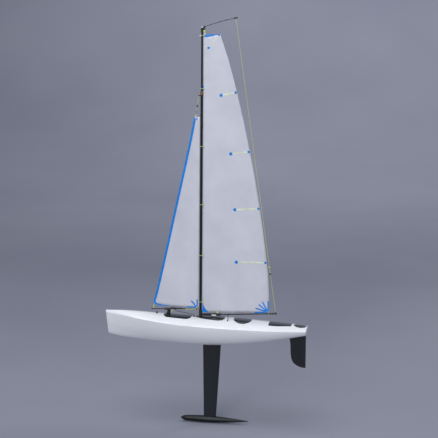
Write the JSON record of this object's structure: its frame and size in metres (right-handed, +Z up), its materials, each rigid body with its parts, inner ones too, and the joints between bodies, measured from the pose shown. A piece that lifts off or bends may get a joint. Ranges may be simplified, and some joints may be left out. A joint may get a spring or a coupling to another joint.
{
  "type": "radio-controlled sailing yacht",
  "caption": "Model sailing yacht with a fin keel and lead bulb, a spade rudder, swinging main and jib booms with film sails, and radio gear inside its hull.",
  "frame": {"origin": "lowest point of the round hull bottom on the centreline, where it rests in a cradle", "axes": "+X to the bow, +Y to port, +Z up"},
  "size_m": [0.6544, 0.1165, 1.2993],
  "materials": {
    "white_gelcoat": "gloss moulded shell",
    "bumper_rubber": "soft white rubber",
    "black_gloss_panel": "gloss self-adhesive panel",
    "black_plastic": "satin moulded plastic",
    "carbon_spar": "dark drawn tube",
    "black_fin": "satin black moulding",
    "bulb_paint": "satin black paint on a lead casting",
    "plain_steel": "plain steel",
    "amber_plastic": "amber plastic ring",
    "white_plastic": "white moulded plastic",
    "sail_film": "crisp translucent film",
    "yellow_green_cord": "braided cord",
    "servo_case": "satin moulded case",
    "cell_wrap": "shrink wrap",
    "grey_plastic": "satin moulded plastic"
  },
  "bodies": {
    "hull": {"hull_shell": "white_gelcoat", "deck_shell": "white_gelcoat", "bow_bumper": "bumper_rubber", "foredeck_panel": "black_gloss_panel", "mast_plate": "black_gloss_panel", "main_hatch_cover": "black_gloss_panel", "aft_hatch_cover": "black_gloss_panel", "stern_hatch_cover": "black_gloss_panel", "sheet_leads": "black_plastic", "foredeck_eye": "black_plastic", "keel_box": "white_plastic", "keel_fin": "black_fin", "keel_bulb": "bulb_paint", "keel_fasteners": "plain_steel", "mast_step": "white_plastic", "mast_lower": "carbon_spar", "mast_upper": "carbon_spar", "mast_ferrule": "amber_plastic", "masthead_cap": "white_plastic", "masthead_fitting": "black_plastic", "masthead_crane": "black_plastic", "crane_beads": "black_plastic", "mast_collars": "black_plastic", "hoist_eye": "black_plastic", "jib_pivot_post": "black_plastic", "jib_halyard": "yellow_green_cord", "halyard_swivel": "plain_steel", "mainsheet": "yellow_green_cord", "jib_sheet": "yellow_green_cord", "rudder_tube": "white_plastic", "servo_tray": "white_plastic", "sail_servo": "servo_case", "rudder_servo": "servo_case", "servo_screws": "plain_steel", "battery_holder": "grey_plastic", "battery_cells": "cell_wrap", "receiver": "grey_plastic", "power_switch": "black_plastic"},
    "main_boom": {"gooseneck": "black_plastic", "main_boom_tube": "carbon_spar", "boom_end_fittings": "black_plastic", "boom_sheet_eye": "black_plastic", "mainsail": "sail_film", "mainsail_ties": "yellow_green_cord", "leech_line": "yellow_green_cord"},
    "jib": {"jib_swivel": "black_plastic", "jib_boom_tube": "carbon_spar", "jib_boom_ends": "black_plastic", "jib_trim_bar": "black_plastic", "jib_sail": "sail_film", "jib_ties": "yellow_green_cord"},
    "rudder": {"rudder_blade": "black_fin", "rudder_shaft": "plain_steel", "tiller_arm": "black_plastic"},
    "pushrod": {"rudder_pushrod": "plain_steel"},
    "servo_horn": {"rudder_horn": "white_plastic"},
    "sail_arm": {"sail_servo_arm": "white_plastic"},
    "slider": {"switch_slider": "white_plastic"},
    "leech_bowsie": {"leech_bowsie": "black_plastic"},
    "halyard_bowsie": {"halyard_bowsie": "black_plastic"}
  },
  "joints": [
    {"name": "main_boom_swing", "type": "hinge", "parent": "hull", "child": "main_boom", "pos_m": [0, 0, 0.097], "axis": [-0.0087, 0, 1], "range_deg": [-85, 85]},
    {"name": "jib_boom_swing", "type": "hinge", "parent": "hull", "child": "jib", "pos_m": [0.1047, 0, 0.095], "axis": [-0.143, 0, 0.9897], "range_deg": [-80, 80]},
    {"name": "rudder_turn", "type": "hinge", "parent": "hull", "child": "rudder", "pos_m": [-0.303, 0, 0], "axis": [0, 0, 1], "range_deg": [-35, 35]},
    {"name": "pushrod_swing", "type": "hinge", "parent": "rudder", "child": "pushrod", "pos_m": [-0.303, 0.012, 0.066], "axis": [0, 0, 1], "range_deg": [-35, 35]},
    {"name": "servo_horn_turn", "type": "hinge", "parent": "hull", "child": "servo_horn", "pos_m": [-0.19, 0, 0.066], "axis": [0, 0, 1], "range_deg": [-35, 35]},
    {"name": "sail_servo_turn", "type": "hinge", "parent": "hull", "child": "sail_arm", "pos_m": [-0.1, 0, 0.058], "axis": [0, 0, 1], "range_deg": [-50, 50]},
    {"name": "switch_slide", "type": "slide", "parent": "hull", "child": "slider", "axis": [-1, 0, 0], "range_m": [0, 0.0038]},
    {"name": "leech_bowsie_slide", "type": "slide", "parent": "main_boom", "child": "leech_bowsie", "axis": [0.1396, 0, 0.9902], "range_m": [-0.02, 0.02]},
    {"name": "halyard_bowsie_slide", "type": "slide", "parent": "hull", "child": "halyard_bowsie", "axis": [-0.143, 0, 0.9897], "range_m": [-0.01, 0.022]}
  ],
  "couplings": [
    {"joint": "pushrod_swing", "follows": "rudder_turn", "ratio": -1},
    {"joint": "servo_horn_turn", "follows": "rudder_turn", "ratio": 1}
  ]
}
